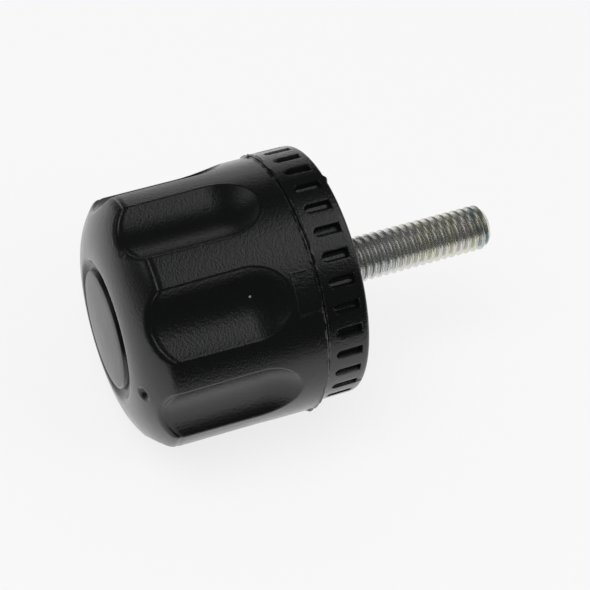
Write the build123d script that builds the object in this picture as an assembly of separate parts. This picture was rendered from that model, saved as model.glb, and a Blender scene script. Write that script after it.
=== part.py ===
"""Small fluted clamping knob with a knurled rim and a moulded-in M4 stud, lying on its side."""

import os
from math import asin, atan2, cos, degrees, radians, sin, sqrt

from build123d import *

# Lengths are in millimetres and angles in degrees. The knob is drawn about its own axis, with
# z = 0 on the seat face, the head above it and the stud below it, and laid on its side last.

# Stud: M4 x 0.7 thread, drawn at the crest radius.
stud_radius = 1.975
stud_reach = 15.9
stud_tip_chamfer = 0.65

# Anchor of the stud, hidden in the moulding: a collar flush with the seat, a neck, a serrated head.
collar_radius = 2.5
collar_length = 1.0
neck_radius = 1.6
neck_length = 1.3
anchor_radius = 2.7
anchor_length = 5.2
anchor_serrations = 12
serration_depth = 0.3
serration_width = 0.7

# Knurled rim: the part of the moulding between the seat face and the parting line.
rim_radius = 10.72
rim_height = 3.77
rim_seat_chamfer = 0.3
slot_count = 32
slot_phase = -2.3
slot_low = 0.68
slot_high = 3.12
slot_width = 0.85
slot_depth = 0.45

# Fluted body: lightly tapered from the parting line to the face edge, which is broken by a bevel.
body_radius_low = 10.9
body_radius_high = 10.75
face_edge_height = 16.42
face_bevel_width = 0.3
face_bevel_rise = 0.3

# Finger flutes: a round-nosed groove along the axis with a ball-shaped end towards the rim.
flute_count = 8
flute_half_angle = 15.8
flute_depth = 1.35
flute_end_height = 5.95
flute_edge_chamfer = 0.12

# Face: a dome that rises to a narrow ridge, a shallow moat, and a slightly crowned disc.
ridge_outer_radius = 6.2
ridge_radius = 5.92
ridge_height = 18.78
dome_bulge = 0.42
moat_outer_radius = 5.5
moat_inner_radius = 5.06
moat_height = 18.32
disc_radius = 4.93
disc_height = 18.9
disc_crown = 0.25

# The two mould halves don't quite meet: each part of the moulding is off the stud's axis, the
# body one way and the rim the other, along one direction.
shift_angle = 46.5
body_shift = 0.18
rim_shift = -0.145


def along_shift(distance: float) -> Location:
    """A sideways step along the direction in which the mould halves are out of line."""
    return Location((distance * cos(radians(shift_angle)), distance * sin(radians(shift_angle)), 0))


def turned(outline: list[Edge]) -> Part:
    """A solid of revolution about the z axis from a closed outline of (radius, height) points."""
    return revolve(Plane.XZ * make_face(Wire(outline)), axis=Axis.Z)


def make_rim() -> Part:
    """The rim's plain form, with the edge of the seat face broken by a chamfer."""
    corner = rim_radius - rim_seat_chamfer
    outline = [
        Line((0, 0), (corner, 0)),
        Line((corner, 0), (rim_radius, rim_seat_chamfer)),
        Line((rim_radius, rim_seat_chamfer), (rim_radius, rim_height)),
        Line((rim_radius, rim_height), (0, rim_height)),
        Line((0, rim_height), (0, 0)),
    ]
    return turned(outline)


def make_slots() -> list[Part]:
    """Cutters for the closed slots of the knurl: square at the seat end, round at the other."""
    straight = slot_high - slot_low - slot_width / 2
    bar = Pos(slot_depth, 0, straight / 2) * Box(2 * slot_depth, slot_width, straight)
    end = Pos(slot_depth, 0, straight) * Rot(0, 90, 0) * Cylinder(slot_width / 2, 2 * slot_depth)
    cutter = Pos(rim_radius - slot_depth, 0, slot_low) * (bar + end)
    turns = [slot_phase + number * 360 / slot_count for number in range(slot_count)]
    return [Rot(0, 0, turn) * cutter for turn in turns]


def make_body() -> Part:
    """The fluted body's plain form: tapered side, bevelled face edge, dome, ridge, moat and disc."""
    edge = (body_radius_high, face_edge_height)
    dome_start = (body_radius_high - face_bevel_width, face_edge_height + face_bevel_rise)
    ridge_outer = (ridge_outer_radius, ridge_height)
    ridge_inner = (ridge_radius, ridge_height)
    moat_outer = (moat_outer_radius, moat_height)
    moat_inner = (moat_inner_radius, moat_height)
    crown_radius = (disc_radius**2 + disc_crown**2) / (2 * disc_crown)
    crown_turn = asin(disc_radius / crown_radius) / 2
    crown_middle = (
        crown_radius * sin(crown_turn),
        disc_height + disc_crown - crown_radius * (1 - cos(crown_turn)),
    )
    outline = [
        Line((0, rim_height), (body_radius_low, rim_height)),
        Line((body_radius_low, rim_height), edge),
        Line(edge, dome_start),
        SagittaArc(dome_start, ridge_outer, -dome_bulge),
        Line(ridge_outer, ridge_inner),
        Line(ridge_inner, moat_outer),
        Line(moat_outer, moat_inner),
        Line(moat_inner, (disc_radius, disc_height)),
        ThreePointArc((disc_radius, disc_height), crown_middle, (0, disc_height + disc_crown)),
        Line((0, disc_height + disc_crown), (0, rim_height)),
    ]
    return turned(outline)


def break_flute_edges(body: Part) -> Part:
    """Takes a narrow chamfer off every sharp edge of the flutes."""
    grooved = [
        face
        for face in body.faces()
        if face.geom_type in (GeomType.CYLINDER, GeomType.SPHERE)
        and Vector(face.center().X, face.center().Y).length > moat_outer_radius
    ]
    edges = ShapeList(edge for face in grooved for edge in face.edges())
    sharp = [edge for edge in edges if edge.geom_type == GeomType.BSPLINE]
    return chamfer(sharp, flute_edge_chamfer)


def make_flutes() -> list[Part]:
    """Cutters for the finger flutes, as a round bar with a ball end."""
    half_width = body_radius_low * sin(radians(flute_half_angle))
    below_chord = flute_depth - body_radius_low * (1 - cos(radians(flute_half_angle)))
    radius = (half_width**2 + below_chord**2) / (2 * below_chord)
    offset = body_radius_low + radius - flute_depth
    run_out = sqrt(radius**2 - (offset - body_radius_low) ** 2)
    ball_height = flute_end_height + run_out
    bar = Pos(offset, 0, ball_height) * Cylinder(
        radius, disc_height + disc_crown - ball_height, align=(Align.CENTER, Align.CENTER, Align.MIN)
    )
    tool = bar + Pos(offset, 0, ball_height) * Sphere(radius)
    return [Rot(0, 0, number * 360 / flute_count) * tool for number in range(flute_count)]


def make_stud() -> Part:
    """The stud in one piece: threaded shank, collar, thin neck and serrated anchor."""
    upward = (Align.CENTER, Align.CENTER, Align.MIN)
    shank = Pos(0, 0, -stud_reach) * Cylinder(stud_radius, stud_reach, align=upward)
    shank = chamfer(shank.edges().group_by(Axis.Z)[0], stud_tip_chamfer)
    collar = Cylinder(collar_radius, collar_length, align=upward)
    neck = Pos(0, 0, collar_length) * Cylinder(neck_radius, neck_length, align=upward)
    anchor_height = collar_length + neck_length
    anchor = Pos(0, 0, anchor_height) * Cylinder(anchor_radius, anchor_length, align=upward)
    groove = Pos(anchor_radius, 0, anchor_height + anchor_length / 2) * Box(
        2 * serration_depth, serration_width, anchor_length
    )
    grooves = [Rot(0, 0, number * 360 / anchor_serrations) * groove for number in range(anchor_serrations)]
    return shank + collar + neck + (anchor - grooves)


def make_knob(stud: Part) -> Part:
    """The moulding in one piece, with the stud's anchor left out of it."""
    body = break_flute_edges(make_body() - make_flutes())
    rim = make_rim() - make_slots()
    return along_shift(body_shift) * body + along_shift(rim_shift) * rim - stud


def side_rest_tilt() -> float:
    """How far the axis leans, head down, when the knob lies on its collar and one flute's edges."""
    collar_drop = body_radius_low
    head_drop = body_radius_high * cos(radians(flute_half_angle))
    span = face_edge_height - rim_height
    return degrees(atan2(collar_drop - head_drop, span))


def rest_place(parts: list[Part]) -> Location:
    """Where the knob lies: a flute down, the stud towards +X, centred on the table at z = 0."""
    turn = Rot(0, -(90 + side_rest_tilt()), 0) * Rot(0, 0, 180)
    boxes = [(turn * part).bounding_box() for part in parts]
    low = [min(getattr(box.min, side) for box in boxes) for side in "XYZ"]
    high = [max(getattr(box.max, side) for box in boxes) for side in "XYZ"]
    return Pos(-(low[0] + high[0]) / 2, -(low[1] + high[1]) / 2, -low[2]) * turn


def main() -> None:
    """Build the two pieces, lay them down and write one file for each."""
    stud = make_stud()
    knob = make_knob(stud)
    place = rest_place([knob, stud])
    os.makedirs("parts", exist_ok=True)
    for name, part in (("knob_body", knob), ("threaded_stud", stud)):
        laid = place * part
        export_step(laid, f"parts/{name}.step")
        box = laid.bounding_box()
        print(name, "solids", len(laid.solids()), "volume", round(laid.volume, 1), "box", box.min, box.max)
    print("seat centre", place.position, "tilt", side_rest_tilt())


main()
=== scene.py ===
"""Looks of the knurled knob: a fluted black moulding with a knurled rim, on a plated M4 stud."""

import logging
from dataclasses import dataclass
from enum import Enum
from math import cos, hypot, pi, radians, sin, sqrt

import bpy
from mathutils import Matrix, Vector


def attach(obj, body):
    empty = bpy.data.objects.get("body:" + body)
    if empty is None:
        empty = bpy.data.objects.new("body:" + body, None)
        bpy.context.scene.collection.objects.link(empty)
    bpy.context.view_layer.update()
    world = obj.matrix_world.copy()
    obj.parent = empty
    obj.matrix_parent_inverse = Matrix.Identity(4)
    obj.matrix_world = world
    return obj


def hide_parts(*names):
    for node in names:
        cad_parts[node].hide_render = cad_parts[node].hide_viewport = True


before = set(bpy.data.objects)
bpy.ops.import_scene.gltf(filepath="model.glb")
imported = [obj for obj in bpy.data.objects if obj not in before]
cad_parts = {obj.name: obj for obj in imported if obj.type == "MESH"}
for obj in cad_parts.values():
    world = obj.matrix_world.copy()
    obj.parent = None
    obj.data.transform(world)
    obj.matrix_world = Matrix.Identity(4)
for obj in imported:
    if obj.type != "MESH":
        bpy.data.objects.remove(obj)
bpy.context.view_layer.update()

logging.basicConfig(level=logging.INFO, format="%(message)s")
LOG = logging.getLogger("knob")

MM = 0.001

# Points of a form nearer than this many millimetres become one.
MERGE_DISTANCE = 0.002

# The stud's hidden end in the moulding, in millimetres: a collar at the seat, a neck and an anchor.
COLLAR_RADIUS = 2.5
COLLAR_TOP = 1.0
NECK_RADIUS = 1.6
NECK_TOP = 2.3
ANCHOR_RADIUS = 2.7
ANCHOR_TOP = 7.5


class Wire:
    """One output socket of a node tree. Arithmetic on it adds Math nodes."""

    def __init__(self, graph: "Graph", socket: bpy.types.NodeSocket) -> None:
        """Wraps a socket of a graph."""
        self.graph = graph
        self.socket = socket

    def other(self, name: str) -> "Wire":
        """Another output of the same node."""
        return Wire(self.graph, self.socket.node.outputs[name])

    def __add__(self, more: "float | Wire") -> "Wire":
        """Sum."""
        return self.graph.math("ADD", self, more)

    def __sub__(self, less: "float | Wire") -> "Wire":
        """Difference."""
        return self.graph.math("SUBTRACT", self, less)

    def __rsub__(self, whole: float) -> "Wire":
        """Difference from a number."""
        return self.graph.math("SUBTRACT", whole, self)

    def __mul__(self, times: "float | Wire") -> "Wire":
        """Product."""
        return self.graph.math("MULTIPLY", self, times)

    def __truediv__(self, parts: "float | Wire") -> "Wire":
        """Quotient."""
        return self.graph.math("DIVIDE", self, parts)

    def __gt__(self, limit: "float | Wire") -> "Wire":
        """1 where the value is above the limit."""
        return self.graph.math("GREATER_THAN", self, limit)

    def __lt__(self, limit: "float | Wire") -> "Wire":
        """1 where the value is below the limit."""
        return self.graph.math("LESS_THAN", self, limit)

    def __mod__(self, period: float) -> "Wire":
        """Remainder."""
        return self.graph.math("FLOORED_MODULO", self, period)

    def __abs__(self) -> "Wire":
        """Size without sign."""
        return self.graph.math("ABSOLUTE", self)

    __radd__ = __add__
    __rmul__ = __mul__

    def root(self) -> "Wire":
        """Square root, or 0 below 0."""
        return self.graph.math("SQRT", self.graph.math("MAXIMUM", self, 0.0))

    def cut(self) -> "Wire":
        """The value held between 0 and 1."""
        return self.graph.math("MINIMUM", self.graph.math("MAXIMUM", self, 0.0), 1.0)

    def eased(self) -> "Wire":
        """The value held between 0 and 1, with soft starts and ends."""
        held = self.cut()
        return held * held * (3.0 - 2.0 * held)

    def mixed(self, low: "float | Wire", high: "float | Wire") -> "Wire":
        """Low where this is 0 and high where this is 1."""
        return (1.0 - self) * low + self * high


class Graph:
    """A node tree that is written as expressions."""

    def __init__(self, tree: bpy.types.NodeTree) -> None:
        """Starts on an empty tree."""
        self.tree = tree
        self.tree.nodes.clear()

    def add(
        self,
        kind: str,
        settings: dict | None = None,
        inputs: dict | None = None,
        output: int | str = 0,
    ) -> Wire:
        """Adds a node.

        Args:
            kind: The node's type.
            settings: Its properties, set first; "stops" are the colour stops of a ramp.
            inputs: Values or wires, by the name or number of the socket.
            output: The name or number of the output that is wanted.

        Returns:
            That output.
        """
        node = self.tree.nodes.new(kind)
        for name, value in (settings or {}).items():
            if name == "stops":
                ramp = node.color_ramp
                while len(ramp.elements) < len(value):
                    ramp.elements.new(1.0)
                for element, (place, colour) in zip(ramp.elements, value):
                    element.position = place
                    element.color = colour
            else:
                setattr(node, name, value)
        for key, value in (inputs or {}).items():
            if isinstance(value, Wire):
                self.tree.links.new(value.socket, node.inputs[key])
            else:
                node.inputs[key].default_value = value
        return Wire(self, node.outputs[output] if len(node.outputs) else None)

    def math(self, operation: str, *values: "float | Wire") -> Wire:
        """A Math node on values and wires."""
        return self.add("ShaderNodeMath", {"operation": operation}, dict(enumerate(values)))

    def vector(self, operation: str, *values: "tuple | Wire", output: str = "Vector") -> Wire:
        """A Vector Math node on vectors and wires."""
        inputs = dict(enumerate(values))
        return self.add("ShaderNodeVectorMath", {"operation": operation}, inputs, output)

    def scaled(self, way: Wire, times: Wire) -> Wire:
        """A vector times a value."""
        inputs = {0: way, "Scale": times}
        return self.add("ShaderNodeVectorMath", {"operation": "SCALE"}, inputs)

    def joined(self, first: Wire, second: Wire, third: "float | Wire" = 0.0) -> Wire:
        """The vector of three values."""
        return self.add("ShaderNodeCombineXYZ", inputs={0: first, 1: second, 2: third})

    def blend(self, share: Wire, low: "tuple | Wire", high: "tuple | Wire") -> Wire:
        """The first colour where the share is 0 and the second where it is 1."""
        return self.add("ShaderNodeMix", {"data_type": "RGBA"}, {0: share, 6: low, 7: high}, 2)

    def noise(
        self,
        place: Wire,
        scale: float,
        detail: float = 2.0,
        rough: float = 0.5,
        seed: float | None = None,
    ) -> Wire:
        """A noise from 0 to 1.

        Args:
            place: Where it is read.
            scale: How fine it is.
            detail: How many finer layers it has.
            rough: How much the finer layers count.
            seed: Sets apart noises of one scale.

        Returns:
            The value at the place.
        """
        inputs = {"Vector": place, "Scale": scale, "Detail": detail, "Roughness": rough}
        if seed is None:
            return self.add("ShaderNodeTexNoise", inputs=inputs)
        return self.add("ShaderNodeTexNoise", {"noise_dimensions": "4D"}, {"W": seed, **inputs})

    def steps(self, ruler: Wire, points: "list[tuple[float, float | Wire]]") -> Wire:
        """A broken line over a ruler.

        Args:
            ruler: The value that is read along the line.
            points: Places on the ruler with the line's values there.

        Returns:
            The line's value, held beyond its ends.
        """
        total: "float | Wire" = points[0][1]
        for (start, low), (end, high) in zip(points, points[1:]):
            if low == high:
                continue
            share = ((ruler - start) / (end - start)).cut()
            total = share * (high - low) + total
        return total


class FormTree(Graph):
    """A geometry tree with named sizes that ends in real geometry with one material."""

    def __init__(self, name: str, sizes: dict[str, float]) -> None:
        """Makes the tree and a named input for each size.

        Args:
            name: The tree's name.
            sizes: The inputs, in millimetres.
        """
        tree = bpy.data.node_groups.new(name, "GeometryNodeTree")
        super().__init__(tree)
        sockets = [("Geometry", "OUTPUT", "NodeSocketGeometry")]
        sockets += [("Material", "INPUT", "NodeSocketMaterial")]
        sockets += [(size, "INPUT", "NodeSocketFloat") for size in sizes]
        for socket, way, kind in sockets:
            tree.interface.new_socket(name=socket, in_out=way, socket_type=kind)
        self.sizes = sizes
        self.ends = self.add("NodeGroupInput")

    def size(self, name: str) -> Wire:
        """The named input of the tree."""
        return self.ends.other(name)

    def tile(self, columns: int, rows: int) -> tuple[Wire, Wire, Wire]:
        """A flat grid of unit size, to be shaped.

        Args:
            columns: Faces across.
            rows: Faces along.

        Returns:
            The grid, its place across from -1 to 1, and its row number.
        """
        sizes = {"Size X": 2.0, "Size Y": float(rows)}
        counts = {"Vertices X": columns + 1, "Vertices Y": rows + 1}
        grid = self.add("GeometryNodeMeshGrid", inputs={**sizes, **counts})
        place = self.add("ShaderNodeSeparateXYZ", inputs={0: self.add("GeometryNodeInputPosition")})
        return grid, place, place.other("Y") + rows / 2.0

    def outline(self, row: Wire, first: int, points: list[tuple]) -> tuple[Wire, Wire]:
        """Radius and height of an outline that takes a point for each row.

        Args:
            row: The row number.
            first: The row of the first point.
            points: The outline's (radius, height) points.

        Returns:
            The radius and the height, held beyond the ends.
        """
        radius = self.steps(row, [(first + i, point[0]) for i, point in enumerate(points)])
        height = self.steps(row, [(first + i, point[1]) for i, point in enumerate(points)])
        return radius, height

    def turned_to(self, form: Wire, angle: Wire, radius: Wire, height: Wire) -> Wire:
        """Moves the form's points to cylinder coordinates, with the angle in radians."""
        across, along = self.math("COSINE", angle) * radius, self.math("SINE", angle) * radius
        place = self.joined(across, along, height)
        return self.add("GeometryNodeSetPosition", inputs={"Geometry": form, "Position": place})

    def moved(self, form: Wire, offset: Wire) -> Wire:
        """Moves the form's points by an offset."""
        return self.add("GeometryNodeSetPosition", inputs={"Geometry": form, "Offset": offset})

    def merged(self, form: Wire) -> Wire:
        """Makes points at one place one point."""
        inputs = {"Geometry": form, "Distance": MERGE_DISTANCE}
        return self.add("GeometryNodeMergeByDistance", inputs=inputs)

    def ring(self, form: Wire, count: int, start: float) -> Wire:
        """Copies of a form about the axis, as real geometry.

        Args:
            form: The sector to copy.
            count: How many sectors make the circle.
            start: Angle of the first one in degrees.

        Returns:
            The closed ring with its seams merged.
        """
        line = {"Count": count, "Offset": (0.0, 0.0, 0.0)}
        points = self.add("GeometryNodeMeshLine", inputs=line)
        turn = self.add("GeometryNodeInputIndex") * (2.0 * pi / count) + radians(start)
        turned = self.add("ShaderNodeCombineXYZ", inputs={2: turn})
        sectors = {"Points": points, "Instance": form, "Rotation": turned}
        copies = self.add("GeometryNodeInstanceOnPoints", inputs=sectors)
        return self.merged(self.add("GeometryNodeRealizeInstances", inputs={"Geometry": copies}))

    def close(self, form: Wire) -> None:
        """Ends the tree in Realize Instances and Set Material."""
        real = self.add("GeometryNodeRealizeInstances", inputs={"Geometry": form})
        inputs = {"Geometry": real, "Material": self.size("Material")}
        dressed = self.add("GeometryNodeSetMaterial", inputs=inputs)
        self.add("NodeGroupOutput", inputs={"Geometry": dressed})

    def grow(self, name: str, material: bpy.types.Material, place: Matrix) -> bpy.types.Object:
        """Makes the form a plain mesh, laid in its place.

        Args:
            name: The piece's name.
            material: What it is dressed in.
            place: Turn and shift from the form's millimetres to the frame's metres.

        Returns:
            The piece, with its object at the origin.
        """
        piece = bpy.data.objects.new(name, bpy.data.meshes.new(name))
        bpy.context.scene.collection.objects.link(piece)
        modifier = piece.modifiers.new("form", "NODES")
        modifier.node_group = self.tree
        values = {"Material": material, **self.sizes}
        for item in self.tree.interface.items_tree:
            if item.in_out == "INPUT":
                modifier[item.identifier] = values[item.name]
        made = piece.evaluated_get(bpy.context.evaluated_depsgraph_get())
        mesh = bpy.data.meshes.new_from_object(made)
        piece.modifiers.remove(modifier)
        piece.data = mesh
        mesh.name = name
        mesh.transform(place)
        if not mesh.materials:
            mesh.materials.append(material)
        return piece


def shade(mesh: bpy.types.Mesh, sharp: float) -> None:
    """Smooth shading, with edges sharper than an angle in degrees kept hard."""
    mesh.polygons.foreach_set("use_smooth", [True] * len(mesh.polygons))
    mesh.set_sharp_from_angle(angle=radians(sharp))


@dataclass
class Rest:
    """How the knob lies: on its side, a flute down, the head a little lower than the stud."""

    seat_x: float = 1.59161
    seat_y: float = 0.102694
    seat_z: float = 11.2459
    tilt: float = 2.51738

    def place(self) -> Matrix:
        """Turn, shift and scale from the knob's own millimetres to the frame's metres."""
        turn = Matrix.Rotation(radians(-90.0 - self.tilt), 4, "Y") @ Matrix.Rotation(pi, 4, "Z")
        shift = Matrix.Translation(Vector((self.seat_x, self.seat_y, self.seat_z)) * MM)
        return shift @ turn @ Matrix.Scale(MM, 4)

    def own(self, graph: Graph) -> tuple[Wire, Wire, Wire]:
        """A point's place in the knob's own millimetres, for a finish.

        Args:
            graph: The material that is being built.

        Returns:
            The two places across the axis and the height above the seat.
        """
        where = graph.add("ShaderNodeTexCoord", output="Object")
        back = self.place().inverted()
        across, along, height = (
            graph.vector("DOT_PRODUCT", where, tuple(row[:3]), output="Value") + row[3]
            for row in back[:3]
        )
        return across, along, height


@dataclass(frozen=True)
class BlackMoulding:
    """Black plastic, semi-matt and finely grained, with a duller disc, a gate mark and a speck.

    The disc holds its radius and lowest height. The speck and the gate hold an angle in degrees
    first, then radius and height, or height alone. The gate's half sizes are an angle and a height.
    """

    colour: tuple = (0.0045, 0.005, 0.0048, 1.0)
    roughness: float = 0.19
    mottling: float = 0.1
    mottle_scale: float = 0.42
    grain: float = 0.034
    grain_scale: float = 4.6
    grain_stretch: float = 1.5
    disc: tuple = (4.95, 18.6)
    disc_dulling: float = 0.15
    speck_colour: tuple = (0.2, 0.21, 0.2, 1.0)
    speck: tuple = (137.0, 9.55, 9.05)
    speck_size: float = 0.11
    gate: tuple = (133.0, 4.75)
    gate_half: tuple = (9.5, 1.15)
    gate_rise: float = 0.03
    gate_line: float = 0.95
    gate_line_width: float = 0.07
    gate_inside: float = 0.9
    gate_torn: float = 0.46
    gate_scale: float = 2.6

    def material(self, rest: Rest) -> bpy.types.Material:
        """Builds the material.

        Args:
            rest: How the knob lies.

        Returns:
            The material of the moulding.
        """
        material = bpy.data.materials.new("black_moulding")
        material.use_nodes = True
        graph = Graph(material.node_tree)
        across, along, height = rest.own(graph)
        place = graph.joined(across, along, height)
        strokes = graph.joined(across, along, self.grain_stretch * height)
        fine = graph.noise(strokes, self.grain_scale, 3.0, 0.6)
        broad = graph.noise(place, self.mottle_scale, 4.0)
        outward = graph.math("SQRT", across * across + along * along)
        on_disc = (outward < self.disc[0]) * (height > self.disc[1])
        rough = self.roughness + self.mottling * (broad - 0.5) + self.disc_dulling * on_disc

        angle = graph.math("DEGREES", graph.math("ARCTAN2", along, across))
        sideways = abs(angle - self.gate[0]) / self.gate_half[0]
        upward = abs(height - self.gate[1]) / self.gate_half[1]
        rim = graph.math("MAXIMUM", sideways, upward)
        torn = graph.noise(place, self.gate_scale, 4.0)
        line = (1.0 - abs(rim - self.gate_line) / self.gate_line_width).cut()
        gate = line * (torn > self.gate_torn) + (rim < self.gate_inside) * torn
        relief = self.grain * fine + self.gate_rise * gate
        inputs = {"Strength": 1.0, "Distance": MM, "Height": relief}
        bump = graph.add("ShaderNodeBump", inputs=inputs)

        turn, radius, level = self.speck
        middle = (radius * cos(radians(turn)), radius * sin(radians(turn)), level)
        near = graph.vector("DISTANCE", place, middle, output="Value") < self.speck_size
        colour = graph.blend(near, self.colour, self.speck_colour)
        inputs = {"Base Color": colour, "Roughness": rough, "Normal": bump}
        shader = graph.add("ShaderNodeBsdfPrincipled", inputs=inputs)
        graph.add("ShaderNodeOutputMaterial", inputs={"Surface": shader})
        return material


@dataclass(frozen=True)
class ZincPlate:
    """Bright zinc plating with faint tints, which start some way out, and a dark patch at the tip.

    Each start is a distance from the seat, and each run is the length over which the tint sets in.
    """

    colour: tuple = (0.66, 0.67, 0.655, 1.0)
    green: tuple = (0.62, 0.65, 0.59, 1.0)
    yellow: tuple = (0.68, 0.66, 0.56, 1.0)
    pink: tuple = (0.68, 0.61, 0.60, 1.0)
    tip_colour: tuple = (0.42, 0.48, 0.47, 1.0)
    metallic: float = 0.88
    roughness: float = 0.27
    mottling: float = 0.2
    mottle_scale: float = 5.0
    patch_scale: float = 0.8
    tint_start: float = 5.0
    tint_run: float = 5.0
    tip_start: float = 13.2
    tip_run: float = 1.6
    tip_level: float = 0.4
    tip_contrast: float = 5.0

    def material(self, rest: Rest) -> bpy.types.Material:
        """Builds the material.

        Args:
            rest: How the knob lies.

        Returns:
            The material of the stud.
        """
        material = bpy.data.materials.new("zinc_plate")
        material.use_nodes = True
        graph = Graph(material.node_tree)
        across, along, height = rest.own(graph)
        place = graph.joined(across, along, height)
        patch = graph.noise(place, self.patch_scale)
        stops = [(0.30, self.green), (0.45, self.yellow), (0.55, self.colour), (0.70, self.pink)]
        film = graph.add("ShaderNodeValToRGB", {"stops": stops}, {"Fac": patch})
        shown = ((0.0 - height - self.tint_start) / self.tint_run).eased()
        dark = ((patch - self.tip_level) * self.tip_contrast).eased()
        end = ((0.0 - height - self.tip_start) / self.tip_run).eased() * dark
        tint = graph.blend(end, graph.blend(shown, self.colour, film), self.tip_colour)
        fine = graph.noise(place, self.mottle_scale, 3.0)
        rough = self.roughness + self.mottling * (fine - 0.5)
        inputs = {"Base Color": tint, "Metallic": self.metallic, "Roughness": rough}
        shader = graph.add("ShaderNodeBsdfPrincipled", inputs=inputs)
        graph.add("ShaderNodeOutputMaterial", inputs={"Surface": shader})
        return material


class Mark(Enum):
    """Marks on this moulding: angle in degrees, then radius, height, size and rise in mm."""

    PIT = (96.5, 8.05, 18.33, 0.72, -0.5)
    PIT_LIP = (96.5, 8.15, 18.3, 1.05, 0.07)
    SCAR = (174.0, 9.5, 17.45, 0.32, -0.16)
    SCAR_LIP = (170.6, 9.42, 17.3, 0.28, 0.1)
    FACE_NIB = (41.0, 10.1, 17.05, 0.4, 0.24)
    SEAT_NIB_HIGH = (180.0, 10.68, 0.1, 0.45, 0.2)
    SEAT_NIB_LOW = (75.0, 10.72, 0.5, 0.4, 0.1)
    PARTING_NIB_HIGH = (219.0, 10.9, 3.9, 0.35, 0.16)
    PARTING_NIB_LOW = (55.5, 10.9, 4.1, 0.42, 0.22)


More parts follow.
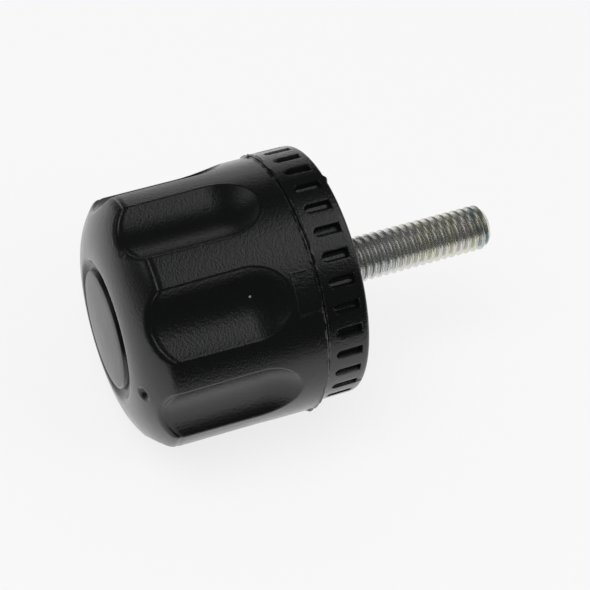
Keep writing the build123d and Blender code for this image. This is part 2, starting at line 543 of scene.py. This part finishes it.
@dataclass
class Moulding:
    """The black moulding in two halves that don't quite meet: knurled rim and fluted body.

    Each half is one sector, a grid of columns and rows that is shaped and repeated round the axis.
    Rows are numbered from the hidden inside. Shares of a sector run from its middle to its edge.
    """

    # Knurled rim, from the seat to the parting line.
    rim_radius: float = 10.72
    parting: float = 3.77
    seat_round: float = 0.35
    seat_flat: float = 0.6
    slots: int = 32
    slot_phase: float = -2.3
    slot_low: float = 0.68
    slot_high: float = 2.95
    slot_width: float = 0.85
    slot_depth: float = 0.52
    slot_wall: float = 0.2
    slot_lip: float = 0.02
    slot_bow: float = 0.2
    slot_wall_inside: float = 0.22
    slot_wall_outside: float = 0.06
    rim_columns: int = 11
    floor_columns: int = 3
    wall_columns: int = 8
    round_rows: int = 4
    rim_side_rows: int = 32

    # Fluted body, from the parting line to the face edge.
    body_low: float = 10.9
    body_high: float = 10.75
    face_edge: float = 16.62
    flutes: int = 8
    flute_half_angle: float = 15.8
    flute_depth: float = 1.35
    flute_end: float = 5.95
    flute_edge_round: float = 0.13
    flute_edge_turn: float = 1.3
    flute_edge_most: float = 0.45
    seam_turn: float = 10.0
    least_turn: float = 1.6
    body_columns: int = 64
    groove_share: float = 0.44
    edge_share: float = 0.69
    side_start: int = 4
    nose_end: int = 44
    nose_end_height: float = 9.8
    nose_start_height: float = 5.55
    front_start: int = 54
    side_end: int = 64
    edge_rows: int = 4
    dome_end: int = 90

    # Dome, ridge, moat and disc.
    ridge_radius: float = 6.2
    ridge_height: float = 18.78
    dome_start_radius: float = 10.45
    dome_start_height: float = 16.72
    dome_bulge: float = 0.42
    ridge_inner: tuple = ((6.05, 18.785), (5.92, 18.75), (5.8, 18.66), (5.62, 18.46))
    moat: tuple = ((5.48, 18.35), (5.3, 18.3), (5.14, 18.33), (5.03, 18.42), (5.0, 18.5))
    disc_radius: float = 4.93
    disc_height: float = 18.9
    disc_crown: float = 0.25
    disc_rings: int = 6

    # Edge of the face: the side draws in to a shoulder, with a fine bead on it.
    front_edge_drop: float = 0.08
    front_edge_width: float = 0.16
    front_rows_depth: float = 0.8
    shoulder_depth: float = 0.7
    shoulder_drop: float = 0.08
    bead_depth: float = 0.19
    bead_width: float = 0.12
    bead_rise: float = 0.04

    # Flash along the parting line, and the two halves' mismatch.
    flash_gap: float = 0.07
    flash_gap_width: float = 0.05
    flash_rise: float = 0.12
    flash_reach: float = 0.34
    flash_near: float = 0.05
    flash_wander: float = 0.16
    flash_width: float = 0.1
    flash_least: float = 0.25
    flash_level: float = 0.42
    flash_contrast: float = 5.0
    flash_skin: float = 0.6
    wander_scale: float = 0.6
    break_scale: float = 0.9
    body_seed: float = 3.7
    rim_seed: float = 9.1
    shift_angle: float = 46.5
    body_shift: float = 0.18
    rim_shift: float = -0.145
    hard_edge: float = 34.0
    body_room: tuple = ((-10.98, -10.824, -1.0), (11.0225, 11.028, 20.0))
    rim_room: tuple = ((-10.8, -10.824, -1.0), (10.9, 11.03, 20.0))

    def flute_tool(self) -> tuple[float, float]:
        """Radius of the round-nosed cutter and its distance from the axis."""
        half = self.body_low * sin(radians(self.flute_half_angle))
        drop = self.flute_depth - self.body_low * (1.0 - cos(radians(self.flute_half_angle)))
        radius = (half**2 + drop**2) / (2.0 * drop)
        return radius, self.body_low + radius - self.flute_depth

    def dome_circle(self) -> tuple[float, float, float]:
        """Radius and centre (radius, height) of the dome's arc."""
        across = self.ridge_radius - self.dome_start_radius
        up = self.ridge_height - self.dome_start_height
        chord = hypot(across, up)
        radius = (chord**2 / 4.0 + self.dome_bulge**2) / (2.0 * self.dome_bulge)
        reach = radius - self.dome_bulge
        centre_radius = (self.dome_start_radius + self.ridge_radius) / 2.0 - up / chord * reach
        centre_height = (self.dome_start_height + self.ridge_height) / 2.0 + across / chord * reach
        return radius, centre_radius, centre_height

    def centre_outline(self) -> list[tuple[float, float]]:
        """The face's outline from the ridge over the moat and the disc to the axis."""
        points = [(self.ridge_radius, self.ridge_height), *self.ridge_inner, *self.moat]
        points.append((self.disc_radius + 0.02, self.disc_height - 0.08))
        points.append((self.disc_radius - 0.03, self.disc_height - 0.02))
        for number in range(self.disc_rings + 1):
            radius = (self.disc_radius - 0.1) * (1.0 - number / self.disc_rings)
            crown = self.disc_crown * (1.0 - (radius / self.disc_radius) ** 2)
            points.append((radius, self.disc_height + crown))
        return points

    def body_tree(self) -> FormTree:
        """The fluted body: one flute's sector, repeated round the axis."""
        tool_radius, tool_offset = self.flute_tool()
        dome_radius, dome_r, dome_z = self.dome_circle()
        sizes = {
            "Flute cutter radius": tool_radius,
            "Flute cutter offset": tool_offset,
            "Flute end height": self.flute_end,
            "Flute edge round": self.flute_edge_round,
            "Body radius at the parting line": self.body_low,
            "Body radius at the face": self.body_high,
        }
        tree = FormTree("fluted_body", sizes)
        cutter, offset = tree.size("Flute cutter radius"), tree.size("Flute cutter offset")
        low = tree.size("Body radius at the parting line")
        high = tree.size("Body radius at the face")
        run_out = sqrt(tool_radius**2 - (tool_offset - self.body_low) ** 2)
        ball = tree.size("Flute end height") + run_out
        centre = self.centre_outline()
        last = self.dome_end + len(centre) - 1
        grid, across, row = tree.tile(self.body_columns, last)

        begin = self.side_start
        lower = [(begin, self.parting), (begin + 1, self.parting + self.flash_gap_width)]
        lower += [(begin + 4, self.parting + self.flash_reach), (begin + 8, self.nose_start_height)]
        lower += [(self.nose_end, self.nose_end_height), (self.nose_end + 6, self.face_edge - 1.4)]
        level = [(self.front_start, self.face_edge - 0.9), (self.side_end, self.face_edge - 0.3)]
        nominal = tree.steps(row, lower + level)
        land = low + (high - low) * ((nominal - self.parting) / (self.face_edge - self.parting))
        below = tree.math("MAXIMUM", ball - nominal, 0.0)
        nose = (cutter * cutter - below * below).root()
        cosine = (land * land + offset * offset - nose * nose) / (2.0 * land * offset)
        edge = tree.math("ARCCOSINE", tree.math("MINIMUM", cosine, 1.0))
        seam = [(self.parting, radians(self.seam_turn))]
        seam += [(self.flute_end + 0.1, radians(self.least_turn))]
        edge = tree.math("MAXIMUM", edge, tree.steps(nominal, seam))
        soft = tree.math("MINIMUM", edge * self.flute_edge_most, radians(self.flute_edge_turn))
        side = tree.math("SIGN", across)
        spread = [(0.0, 0.0), (self.groove_share, edge - soft), (self.edge_share, edge + soft)]
        turn = tree.steps(abs(across), spread + [(1.0, radians(180.0 / self.flutes))])
        reach = tree.math("COSINE", turn) * offset
        wall = tree.math("SINE", turn) * offset
        groove = reach - (nose * nose - wall * wall).root()
        radius = tree.math("SMOOTH_MIN", land, groove, tree.size("Flute edge round"))

        def dome(run: Wire) -> Wire:
            """The dome's height at a distance from the axis."""
            return dome_z + (dome_radius**2 - (run - dome_r) * (run - dome_r)).root()

        front = dome(radius)
        upper = [(self.front_start, front - self.front_rows_depth)]
        upper += [(self.side_end, front - self.front_edge_drop)]
        height = tree.steps(row, lower + upper)
        depth = front - height
        bead = (1.0 - abs(depth - self.bead_depth) / self.bead_width).eased() * self.bead_rise
        drawn = (self.shoulder_depth - depth) / (self.shoulder_depth - self.bead_depth)
        shoulder = drawn.eased() * self.shoulder_drop
        radius = radius + (bead - shoulder) * (row > self.nose_end + 0.5)
        bend = ((row - float(self.side_end)) / float(self.edge_rows)).cut()
        inner = radius - self.front_edge_width
        stay = (1.0 - bend) * (1.0 - bend)
        go = bend * bend
        half = 2.0 * bend * (1.0 - bend)
        edge_radius = (stay + half) * radius + go * inner
        edge_height = stay * (front - self.front_edge_drop) + half * front + go * dome(inner)
        dome_start = self.side_end + self.edge_rows
        dome_run = tree.steps(row, [(dome_start, inner), (self.dome_end, self.ridge_radius)])
        dome_height = dome(dome_run)
        face_radius, face_height = tree.outline(row, self.dome_end, centre)
        hidden = [(0.0, ANCHOR_TOP), (ANCHOR_RADIUS, ANCHOR_TOP), (ANCHOR_RADIUS, self.parting)]
        hidden.append((self.rim_radius - 0.4, self.parting))
        hidden_radius, hidden_height = tree.outline(row, 0, hidden)

        def pick(first: Wire, second: Wire, third: Wire, fourth: Wire, fifth: Wire) -> Wire:
            """Joins the values of hidden rows, side, front edge, dome and centre."""
            value = (row > self.side_start - 0.5).mixed(first, second)
            value = (row > self.side_end + 0.5).mixed(value, third)
            value = (row > dome_start + 0.5).mixed(value, fourth)
            return (row > self.dome_end + 0.5).mixed(value, fifth)

        full_radius = pick(hidden_radius, radius, edge_radius, dome_run, face_radius)
        full_height = pick(hidden_height, height, edge_height, dome_height, face_height)
        sector = tree.turned_to(grid, side * turn, full_radius, full_height)
        whole = tree.ring(sector, self.flutes, 0.0)
        marked = self.marked(tree, self.flashed(tree, whole, self.body_seed))
        tree.close(self.shifted(tree, marked, self.body_shift, self.body_room))
        return tree

    def rim_tree(self) -> FormTree:
        """The knurled rim: one slot's sector, repeated round the axis."""
        sizes = {"Rim radius": self.rim_radius, "Slot width": self.slot_width}
        sizes["Slot depth"] = self.slot_depth
        tree = FormTree("knurled_rim", sizes)
        rim = tree.size("Rim radius")
        half_width = tree.size("Slot width") / 2.0
        corner = self.rim_radius - self.seat_round
        bore = [
            (ANCHOR_RADIUS, self.parting),
            (ANCHOR_RADIUS, NECK_TOP),
            (NECK_RADIUS, NECK_TOP),
            (NECK_RADIUS, COLLAR_TOP),
            (COLLAR_RADIUS, COLLAR_TOP),
            (COLLAR_RADIUS, 0.0),
            (corner - self.seat_flat, 0.0),
            (corner, 0.0),
        ]
        seat = len(bore) - 1
        begin = seat + self.round_rows
        last = begin + self.rim_side_rows
        grid, across, row = tree.tile(2 * self.rim_columns, last + 1)
        levels = [
            (begin, self.seat_round),
            (begin + 1, self.slot_low - 0.08),
            (begin + 9, self.slot_low + 0.35),
            (begin + 15, self.slot_high - 0.5),
            (begin + 25, self.slot_high + 0.08),
            (last - 4, self.parting - self.flash_reach),
            (last - 1, self.parting - self.flash_gap_width),
            (last, self.parting),
        ]
        height = tree.steps(row, levels)
        side = tree.math("SIGN", across)
        inside = (self.slot_width / 2.0 - self.slot_wall_inside) / self.rim_radius
        outside = (self.slot_width / 2.0 + self.slot_wall_outside) / self.rim_radius
        spread = [(0.0, 0.0), (self.floor_columns / self.rim_columns, inside)]
        spread += [(self.wall_columns / self.rim_columns, outside), (1.0, pi / self.slots)]
        turn = tree.steps(abs(across), spread)
        beyond = tree.math("MAXIMUM", height - (self.slot_high - self.slot_width / 2.0), 0.0)
        sideways = turn * rim
        inward = half_width - (sideways * sideways + beyond * beyond).root()
        inward = tree.math("MINIMUM", inward, height - self.slot_low)
        floor = (1.0 - self.slot_bow) + self.slot_bow * (1.0 - sideways / half_width).cut()
        wall = ((inward + self.slot_lip) / self.slot_wall).eased()
        surface = rim - wall * floor * tree.size("Slot depth")
        arc = ((row - float(seat)) / float(self.round_rows)).cut() * (pi / 2.0)
        round_radius = corner + self.seat_round * tree.math("SINE", arc)
        round_height = self.seat_round * (1.0 - tree.math("COSINE", arc))
        bore_radius, bore_height = tree.outline(row, 0, bore)

        def pick(first: Wire, second: Wire, third: Wire, fourth: float) -> Wire:
            """Joins the values of the bore, the seat round, the side and the hidden top."""
            value = (row > seat + 0.5).mixed(first, second)
            value = (row > begin + 0.5).mixed(value, third)
            return (row > last + 0.5).mixed(value, fourth)

        full_radius = pick(bore_radius, round_radius, surface, ANCHOR_RADIUS)
        full_height = pick(bore_height, round_height, height, self.parting)
        sector = tree.turned_to(grid, side * turn, full_radius, full_height)
        whole = tree.ring(sector, self.slots, self.slot_phase)
        marked = self.marked(tree, self.flashed(tree, whole, self.rim_seed))
        tree.close(self.shifted(tree, marked, self.rim_shift, self.rim_room))
        return tree

    def flashed(self, tree: FormTree, form: Wire, seed: float) -> Wire:
        """Uneven flash along the parting line: a recess at the line and a broken ridge beside it.

        Args:
            tree: The tree that is being built.
            form: One half of the moulding.
            seed: Makes the two halves' flash differ.

        Returns:
            The half with its flash.
        """
        place = tree.add("GeometryNodeInputPosition")
        parts = tree.add("ShaderNodeSeparateXYZ", inputs={0: place})
        along = parts.other("Y")
        away = abs(parts.other("Z") - self.parting)
        outward = tree.math("SQRT", parts * parts + along * along)
        shown = outward > self.rim_radius - self.flash_skin
        wander = tree.noise(place, self.wander_scale, seed=2.0 * seed)
        breaks = tree.noise(place, self.break_scale, 3.0, 0.65, seed)
        crest = self.flash_near + self.flash_wander * wander
        ridge = (1.0 - abs(away - crest) / self.flash_width).eased()
        broken = (self.flash_least + (breaks - self.flash_level) * self.flash_contrast).cut()
        recess = (1.0 - away / self.flash_gap_width).cut() * self.flash_gap
        step = tree.joined(parts / outward, along / outward)
        rise = ridge * broken * self.flash_rise
        return tree.moved(form, tree.scaled(step, shown * (rise - recess)))

    def marked(self, tree: FormTree, form: Wire) -> Wire:
        """Nibs of flash, the pit and the small scars of this moulding.

        Args:
            tree: The tree that is being built.
            form: One half of the moulding.

        Returns:
            The half with its marks.
        """
        place = tree.add("GeometryNodeInputPosition")
        rise = 0.0
        for mark in Mark:
            angle, radius, height, size, depth = mark.value
            centre = (radius * cos(radians(angle)), radius * sin(radians(angle)), height)
            away = tree.vector("DISTANCE", place, centre, output="Value")
            rise = (1.0 - away / size).eased() * depth + rise
        return tree.moved(form, tree.scaled(tree.add("GeometryNodeInputNormal"), rise))

    def shifted(self, tree: FormTree, form: Wire, distance: float, room: tuple) -> Wire:
        """Slides one half of the moulding sideways and keeps its flash within the knob's box.

        Args:
            tree: The tree that is being built.
            form: That half.
            distance: How far it is off the stud's axis.
            room: The lowest and highest corners that its points may reach.

        Returns:
            The half in its place.
        """
        angle = radians(self.shift_angle)
        step = (distance * cos(angle), distance * sin(angle), 0.0)
        moved = tree.vector("ADD", tree.add("GeometryNodeInputPosition"), step)
        held = tree.vector("MINIMUM", tree.vector("MAXIMUM", moved, room[0]), room[1])
        return tree.add("GeometryNodeSetPosition", inputs={"Geometry": form, "Position": held})

    def build(self, rest: Rest, material: bpy.types.Material) -> bpy.types.Object:
        """Makes both halves one piece and lays it down.

        Args:
            rest: How the knob lies.
            material: The moulding's finish.

        Returns:
            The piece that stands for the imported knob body.
        """
        place = rest.place()
        body = self.body_tree().grow("knob_moulding", material, place)
        rim = self.rim_tree().grow("knob_rim", material, place)
        both = {"selected_objects": [body, rim], "selected_editable_objects": [body, rim]}
        with bpy.context.temp_override(active_object=body, object=body, **both):
            bpy.ops.object.join()
        shade(body.data, self.hard_edge)
        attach(body, "root")
        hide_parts("knob_body")
        return body


@dataclass
class Stud:
    """The plated M4 stud: rolled thread with doubled crests, and its hidden neck and anchor.

    The thread's profile is given by how far its shoulder and flank lie below the crest, and how far
    its foot lies above the root.
    """

    crest_radius: float = 1.975
    root_radius: float = 1.52
    crest_groove: float = 0.045
    shoulder: float = 0.06
    flank: float = 0.14
    foot: float = 0.02
    pitch: float = 0.7
    reach: float = 15.88
    tip_chamfer: float = 0.47
    around: int = 80
    rows_per_turn: int = 16
    hard_edge: float = 40.0

    def ridge(self, tree: FormTree, phase: Wire) -> Wire:
        """The thread's radius over one turn's rows.

        Args:
            tree: The tree that is being built.
            phase: The row's number within its turn.

        Returns:
            The radius, from root over the doubled crest to root.
        """
        crest, root = tree.size("Crest radius"), tree.size("Root radius")
        climb = [(0, root), (1, root + self.foot), (4, crest - self.flank)]
        climb += [(5, crest - self.shoulder), (7, crest)]
        middle = (self.rows_per_turn // 2, crest - self.crest_groove)
        fall = [(self.rows_per_turn - step, level) for step, level in reversed(climb)]
        return tree.steps(phase, [*climb, middle, *fall])

    def tree(self) -> FormTree:
        """The thread and the hidden end as one turned grid whose rows follow the helix."""
        sizes = {"Crest radius": self.crest_radius, "Root radius": self.root_radius}
        sizes["Pitch"] = self.pitch
        tree = FormTree("rolled_thread", sizes)
        pitch = tree.size("Pitch")
        count = int(self.reach / self.pitch * self.rows_per_turn) + 2 * self.rows_per_turn
        hidden = [
            (COLLAR_RADIUS, 0.0),
            (COLLAR_RADIUS, COLLAR_TOP),
            (NECK_RADIUS, COLLAR_TOP),
            (NECK_RADIUS, NECK_TOP),
            (ANCHOR_RADIUS, NECK_TOP),
            (ANCHOR_RADIUS, ANCHOR_TOP),
            (0.0, ANCHOR_TOP),
        ]
        grid, across, row = tree.tile(self.around, count + len(hidden))
        turn = across * pi
        level = (row - 1.0 - self.rows_per_turn / 2.0) * (pitch / self.rows_per_turn)
        height = level + turn / (2.0 * pi) * pitch - self.reach
        height = tree.math("MINIMUM", tree.math("MAXIMUM", height, -self.reach), 0.0)
        ridge = self.ridge(tree, row % float(self.rows_per_turn))
        cone = (height + self.reach) + (self.crest_radius - self.tip_chamfer)
        profile = tree.math("MINIMUM", tree.math("MINIMUM", ridge, cone), NECK_RADIUS - height)
        hidden_radius, hidden_height = tree.outline(row, count + 1, hidden)
        end = row > count + 0.5
        radius = end.mixed(profile * (row > 0.5), hidden_radius)
        shank = height * (row > 0.5) + (row < 0.5) * -self.reach
        form = tree.turned_to(grid, turn, radius, end.mixed(shank, hidden_height))
        tree.close(tree.merged(form))
        return tree

    def build(self, rest: Rest, material: bpy.types.Material) -> bpy.types.Object:
        """Makes the stud and lays it down.

        Args:
            rest: How the knob lies.
            material: The plating.

        Returns:
            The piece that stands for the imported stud.
        """
        piece = self.tree().grow("plated_stud", material, rest.place())
        shade(piece.data, self.hard_edge)
        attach(piece, "root")
        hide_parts("threaded_stud")
        return piece


class Lamp(Enum):
    """The lamps that light the studio: place in metres, size in metres, and power in watts."""

    KEY = ((-0.25, -0.1, 0.6), 0.5, 2.2)
    FILL = ((0.4, -0.4, 0.5), 0.4, 1.0)


class SoftBox(Enum):
    """What gloss sees above the table.

    Each has its middle towards +X and +Y, half its width both ways and the softness of its edges
    both ways, in degrees from the zenith, and then its brightness.
    """

    HIGH = (33.0, -9.0, 21.5, 23.0, 7.0, 10.0, 1.4)
    EAST = (67.0, -6.0, 16.0, 24.0, 10.0, 12.0, 0.55)
    SIDE = (-47.0, 20.0, 14.0, 17.0, 8.0, 8.0, 0.7)
    FAR = (26.0, 86.0, 12.0, 20.0, 5.0, 20.0, 0.95)
    LOW = (81.0, 20.0, 8.0, 20.0, 5.0, 8.0, 0.55)


@dataclass
class Studio:
    """Pale floor, white surroundings, soft boxes and the camera.

    The camera's eye, sight and upward are in the knob's own millimetres and directions. The floor's
    sheen is what the moulding reflects from below, and the horizon's glow is beside it.
    """

    eye: tuple = (-96.783, 79.532, 42.4695)
    sight: tuple = (0.743203, -0.595811, -0.304399)
    upward: tuple = (-0.666068, -0.701889, -0.252399)
    lens: float = 95.19
    sensor: float = 36.0
    nearest: float = 0.01
    aim: tuple = (0.0, 0.0, 0.01)
    floor_half: float = 1.5
    floor_colour: tuple = (0.88, 0.88, 0.88, 1.0)
    table_white: float = 0.985
    table_glow: float = 1.1
    camera_share: float = 0.8
    gloss_share: float = 0.95
    near_edge: float = 0.05
    near_soft: float = 0.02
    far_edge: float = 0.09
    far_stretch: float = 0.45
    far_least: float = 0.3
    world_colour: tuple = (1.0, 1.0, 0.995, 1.0)
    dark_room: float = 0.04
    even_light: float = 0.35
    horizon_glow: float = 0.25
    horizon_height: float = 22.0
    horizon_azimuth: float = -50.0
    horizon_half: float = 90.0

    def camera(self, rest: Rest) -> None:
        """Sets the camera at the photograph's viewing angle.

        Args:
            rest: How the knob lies.
        """
        data = bpy.data.cameras.new("camera")
        data.lens = self.lens
        data.sensor_width = self.sensor
        data.clip_start = self.nearest
        camera = bpy.data.objects.new("camera", data)
        bpy.context.scene.collection.objects.link(camera)
        place = rest.place()
        turn = place.to_3x3().normalized()
        back = turn @ -Vector(self.sight)
        up = turn @ Vector(self.upward)
        axes = Matrix((up.cross(back), up, back)).transposed().to_4x4()
        camera.matrix_world = Matrix.Translation(place @ Vector(self.eye)) @ axes
        bpy.context.scene.camera = camera

    def lamps(self) -> None:
        """The lamps, each turned to the knob; gloss sees the soft boxes in their place."""
        for lamp in Lamp:
            place, size, power = lamp.value
            data = bpy.data.lights.new(lamp.name.lower(), "AREA")
            data.shape = "DISK"
            data.size = size
            data.energy = power
            light = bpy.data.objects.new(lamp.name.lower(), data)
            bpy.context.scene.collection.objects.link(light)
            light.visible_glossy = False
            away = Vector(place)
            turn = (Vector(self.aim) - away).to_track_quat("-Z", "Y").to_matrix().to_4x4()
            light.matrix_world = Matrix.Translation(away) @ turn

    def surroundings(self) -> None:
        """An even world that the camera sees as white, with soft boxes in a dim room for gloss."""
        world = bpy.data.worlds.new("world")
        bpy.context.scene.world = world
        world.use_nodes = True
        graph = Graph(world.node_tree)
        seen = graph.add("ShaderNodeLightPath", output="Is Camera Ray")
        glossy = seen.other("Is Glossy Ray")
        ray = graph.add("ShaderNodeTexCoord", output="Generated")
        east = graph.add("ShaderNodeSeparateXYZ", inputs={0: ray})
        north = east.other("Y")
        azimuth = graph.math("DEGREES", graph.math("ARCTAN2", east, north))
        height = graph.math("DEGREES", graph.math("ARCSINE", east.other("Z")))
        level = graph.math("SQRT", east * east + north * north) + 0.0001
        to_x = (90.0 - height) * east / level
        to_y = (90.0 - height) * north / level
        low = (1.0 - height / self.horizon_height).eased()
        beside = (1.0 - abs(azimuth - self.horizon_azimuth) / self.horizon_half).eased()
        room = self.dark_room + self.horizon_glow * low * beside
        for box in SoftBox:
            middle_x, middle_y, half_x, half_y, edge_x, edge_y, bright = box.value
            inside_x = ((half_x - abs(to_x - middle_x)) / edge_x + 0.5).eased()
            inside_y = ((half_y - abs(to_y - middle_y)) / edge_y + 0.5).eased()
            room = graph.math("MAXIMUM", room, bright * (inside_x * inside_y))
        strength = seen.mixed(glossy.mixed(self.even_light, room), self.table_white)
        inputs = {"Color": self.world_colour, "Strength": strength}
        shader = graph.add("ShaderNodeBackground", inputs=inputs)
        graph.add("ShaderNodeOutputWorld", inputs={"Surface": shader})

    def floor(self) -> None:
        """A plain pale floor that keeps the knob's shadow."""
        half = self.floor_half
        mesh = bpy.data.meshes.new("floor")
        corners = [(-half, -half, 0), (half, -half, 0), (half, half, 0), (-half, half, 0)]
        mesh.from_pydata(corners, [], [(0, 1, 2, 3)])
        floor = bpy.data.objects.new("floor", mesh)
        bpy.context.scene.collection.objects.link(floor)
        material = bpy.data.materials.new("pale_floor")
        material.use_nodes = True
        graph = Graph(material.node_tree)
        diffuse = graph.add("ShaderNodeBsdfDiffuse", inputs={"Color": self.floor_colour})
        place = graph.add("ShaderNodeTexCoord", output="Object")
        spot = graph.add("ShaderNodeSeparateXYZ", inputs={0: place})
        flattened = graph.vector("MULTIPLY", place, (1.0, self.far_stretch, 0.0))
        distance = graph.vector("LENGTH", flattened, output="Value")
        near = ((spot.other("Y") + self.near_edge) / self.near_soft + 0.5).eased()
        far = (1.0 - (distance - self.far_edge / 2.0) / self.far_edge).eased()
        sheen = self.table_glow * near * (self.far_least + (1.0 - self.far_least) * far)
        seen = graph.add("ShaderNodeLightPath", output="Is Camera Ray")
        strength = seen.mixed(sheen, self.table_white)
        glow = graph.add("ShaderNodeEmission", inputs={"Strength": strength})
        share = self.camera_share * seen + self.gloss_share * seen.other("Is Glossy Ray")
        mix = graph.add("ShaderNodeMixShader", inputs={0: share, 1: diffuse, 2: glow})
        graph.add("ShaderNodeOutputMaterial", inputs={"Surface": mix})
        mesh.materials.append(material)

    def build(self, rest: Rest) -> None:
        """Sets the whole studio round the knob as it lies."""
        self.camera(rest)
        self.lamps()
        self.surroundings()
        self.floor()
        bpy.context.scene.view_settings.view_transform = "Standard"


def main() -> None:
    """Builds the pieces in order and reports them."""
    rest = Rest()
    moulding = Moulding().build(rest, BlackMoulding().material(rest))
    stud = Stud().build(rest, ZincPlate().material(rest))
    Studio().build(rest)
    for piece in (moulding, stud):
        piece.data.calc_loop_triangles()
        LOG.info("%s: %d triangles", piece.name, len(piece.data.loop_triangles))


if __name__ == "__main__":
    main()
